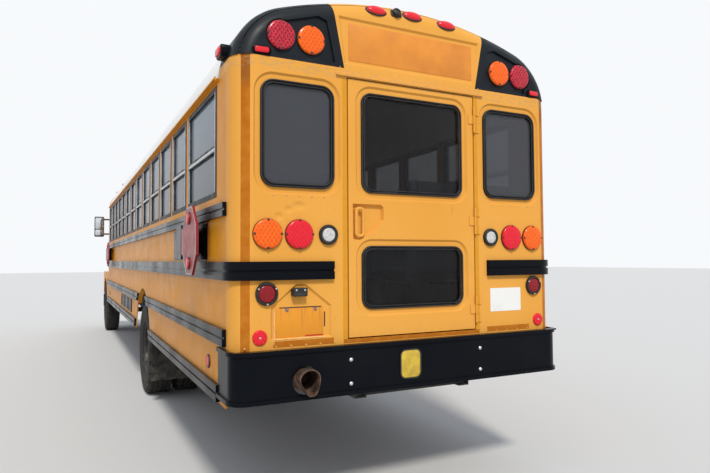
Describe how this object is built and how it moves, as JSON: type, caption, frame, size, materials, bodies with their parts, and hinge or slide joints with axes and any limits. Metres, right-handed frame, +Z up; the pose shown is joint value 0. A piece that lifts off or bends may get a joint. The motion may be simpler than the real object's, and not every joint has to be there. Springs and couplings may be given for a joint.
{
  "type": "school bus",
  "caption": "Hooded yellow school bus with rounded roof, black rub rails, rear emergency door, two-leaf entrance door, tilting hood and swing-out stop arms.",
  "frame": {"origin": "on the ground under the middle of the bus's outline", "axes": "+Z up, +Y towards the rear, +X towards the bus's left side"},
  "size_m": [2.94, 12.08, 3.2152],
  "materials": {
    "body_yellow": "gloss",
    "roof_white": "gloss",
    "black_gloss": "gloss",
    "chassis_black": "satin",
    "rim_paint": "satin",
    "engine_iron": "rough",
    "exhaust_rust": "rough",
    "tyre_rubber": "matte",
    "flap_rubber": "matte",
    "tinted_glass": "gloss",
    "clear_glass": "gloss",
    "frame_black": "satin",
    "floor_grey": "matte",
    "trim_plastic": "matte",
    "grille_plastic": "gloss",
    "seat_vinyl": "satin",
    "red_lens": "gloss",
    "amber_lens": "gloss",
    "clear_lens": "gloss",
    "stop_red": "gloss"
  },
  "bodies": {
    "bus_body": {"frame_rails": "chassis_black", "engine": "engine_iron", "front_axle": "chassis_black", "rear_axle": "chassis_black", "leaf_springs": "chassis_black", "drive_shaft": "chassis_black", "fuel_tank": "chassis_black", "exhaust": "exhaust_rust", "front_bumper": "black_gloss", "rear_bumper": "black_gloss", "mud_flaps": "flap_rubber", "floor": "floor_grey", "left_wall": "body_yellow", "right_wall": "body_yellow", "roof": "roof_white", "rear_wall": "body_yellow", "rear_cap": "body_yellow", "cap_shoulders": "black_gloss", "front_cap": "body_yellow", "cowl": "body_yellow", "windshield": "clear_glass", "window_frames": "frame_black", "window_glass": "tinted_glass", "dash": "trim_plastic", "seat_cushions": "seat_vinyl", "seat_frames": "chassis_black", "rub_rails": "black_gloss", "red_lamps": "red_lens", "amber_lamps": "amber_lens", "clear_lamps": "clear_lens", "mirrors": "trim_plastic", "stop_arm_brackets": "black_gloss"},
    "knuckle_left": {"knuckle_left": "chassis_black"},
    "knuckle_right": {"knuckle_right": "chassis_black"},
    "tie_rod": {"tie_rod": "chassis_black"},
    "front_wheel_left": {"front_wheel_left": "rim_paint", "front_tyre_left": "tyre_rubber"},
    "front_wheel_right": {"front_wheel_right": "rim_paint", "front_tyre_right": "tyre_rubber"},
    "rear_wheels_left": {"rear_wheels_left": "rim_paint", "rear_tyres_left": "tyre_rubber"},
    "rear_wheels_right": {"rear_wheels_right": "rim_paint", "rear_tyres_right": "tyre_rubber"},
    "steering_wheel": {"steering_wheel": "trim_plastic"},
    "rear_door": {"rear_door": "body_yellow", "rear_door_glass": "tinted_glass"},
    "entrance_leaf_front": {"entrance_leaf_front": "body_yellow", "entrance_glass_front": "clear_glass"},
    "entrance_leaf_rear": {"entrance_leaf_rear": "body_yellow", "entrance_glass_rear": "clear_glass"},
    "hood": {"hood": "body_yellow", "grille": "grille_plastic", "headlamps": "clear_lens"},
    "stop_arm_rear": {"stop_arm_rear": "stop_red"},
    "stop_arm_front": {"stop_arm_front": "stop_red"}
  },
  "joints": [
    {"name": "steer_left", "type": "hinge", "parent": "bus_body", "child": "knuckle_left", "pos_m": [0.905, -5.18, 0.525], "axis": [0, 0, 1], "range_deg": [-38, 38]},
    {"name": "steer_right", "type": "hinge", "parent": "bus_body", "child": "knuckle_right", "pos_m": [-0.905, -5.18, 0.525], "axis": [0, 0, 1], "range_deg": [-38, 38]},
    {"name": "tie_rod_pivot", "type": "hinge", "parent": "knuckle_left", "child": "tie_rod", "pos_m": [0.905, -4.97, 0.449], "axis": [0, 0, 1], "range_deg": [-38, 38]},
    {"name": "steering_wheel_turn", "type": "hinge", "parent": "bus_body", "child": "steering_wheel", "pos_m": [0.62, -3.75, 1.72], "axis": [0, 0.5736, 0.8192], "range_deg": [-684, 684]},
    {"name": "front_wheel_left_spin", "type": "hinge", "parent": "knuckle_left", "child": "front_wheel_left", "pos_m": [1.055, -5.18, 0.525], "axis": [1, 0, 0], "continuous": true},
    {"name": "front_wheel_right_spin", "type": "hinge", "parent": "knuckle_right", "child": "front_wheel_right", "pos_m": [-1.055, -5.18, 0.525], "axis": [1, 0, 0], "continuous": true},
    {"name": "rear_wheels_left_spin", "type": "hinge", "parent": "bus_body", "child": "rear_wheels_left", "pos_m": [0.875, 1.83, 0.525], "axis": [1, 0, 0], "continuous": true},
    {"name": "rear_wheels_right_spin", "type": "hinge", "parent": "bus_body", "child": "rear_wheels_right", "pos_m": [-0.875, 1.83, 0.525], "axis": [1, 0, 0], "continuous": true},
    {"name": "rear_door_hinge", "type": "hinge", "parent": "bus_body", "child": "rear_door", "pos_m": [-0.484, 5.942, 1.87], "axis": [0, 0, 1], "range_deg": [0, 110]},
    {"name": "entrance_front_hinge", "type": "hinge", "parent": "bus_body", "child": "entrance_leaf_front", "pos_m": [-1.207, -3.992, 1.5], "axis": [0, 0, 1], "range_deg": [0, 95]},
    {"name": "entrance_rear_hinge", "type": "hinge", "parent": "bus_body", "child": "entrance_leaf_rear", "pos_m": [-1.207, -3.278, 1.5], "axis": [0, 0, -1], "range_deg": [0, 95]},
    {"name": "hood_tilt", "type": "hinge", "parent": "bus_body", "child": "hood", "pos_m": [0, -5.97, 0.798], "axis": [1, 0, 0], "range_deg": [0, 65]},
    {"name": "stop_arm_rear_swing", "type": "hinge", "parent": "bus_body", "child": "stop_arm_rear", "pos_m": [1.28, 4.87, 1.682], "axis": [0, 0, -1], "range_deg": [0, 90]},
    {"name": "stop_arm_front_swing", "type": "hinge", "parent": "bus_body", "child": "stop_arm_front", "pos_m": [1.28, -3.32, 1.682], "axis": [0, 0, -1], "range_deg": [0, 90]}
  ],
  "couplings": [
    {"joint": "steer_right", "follows": "steer_left", "ratio": 1},
    {"joint": "tie_rod_pivot", "follows": "steer_left", "ratio": -1},
    {"joint": "steering_wheel_turn", "follows": "steer_left", "ratio": 18},
    {"joint": "entrance_rear_hinge", "follows": "entrance_front_hinge", "ratio": 1}
  ]
}
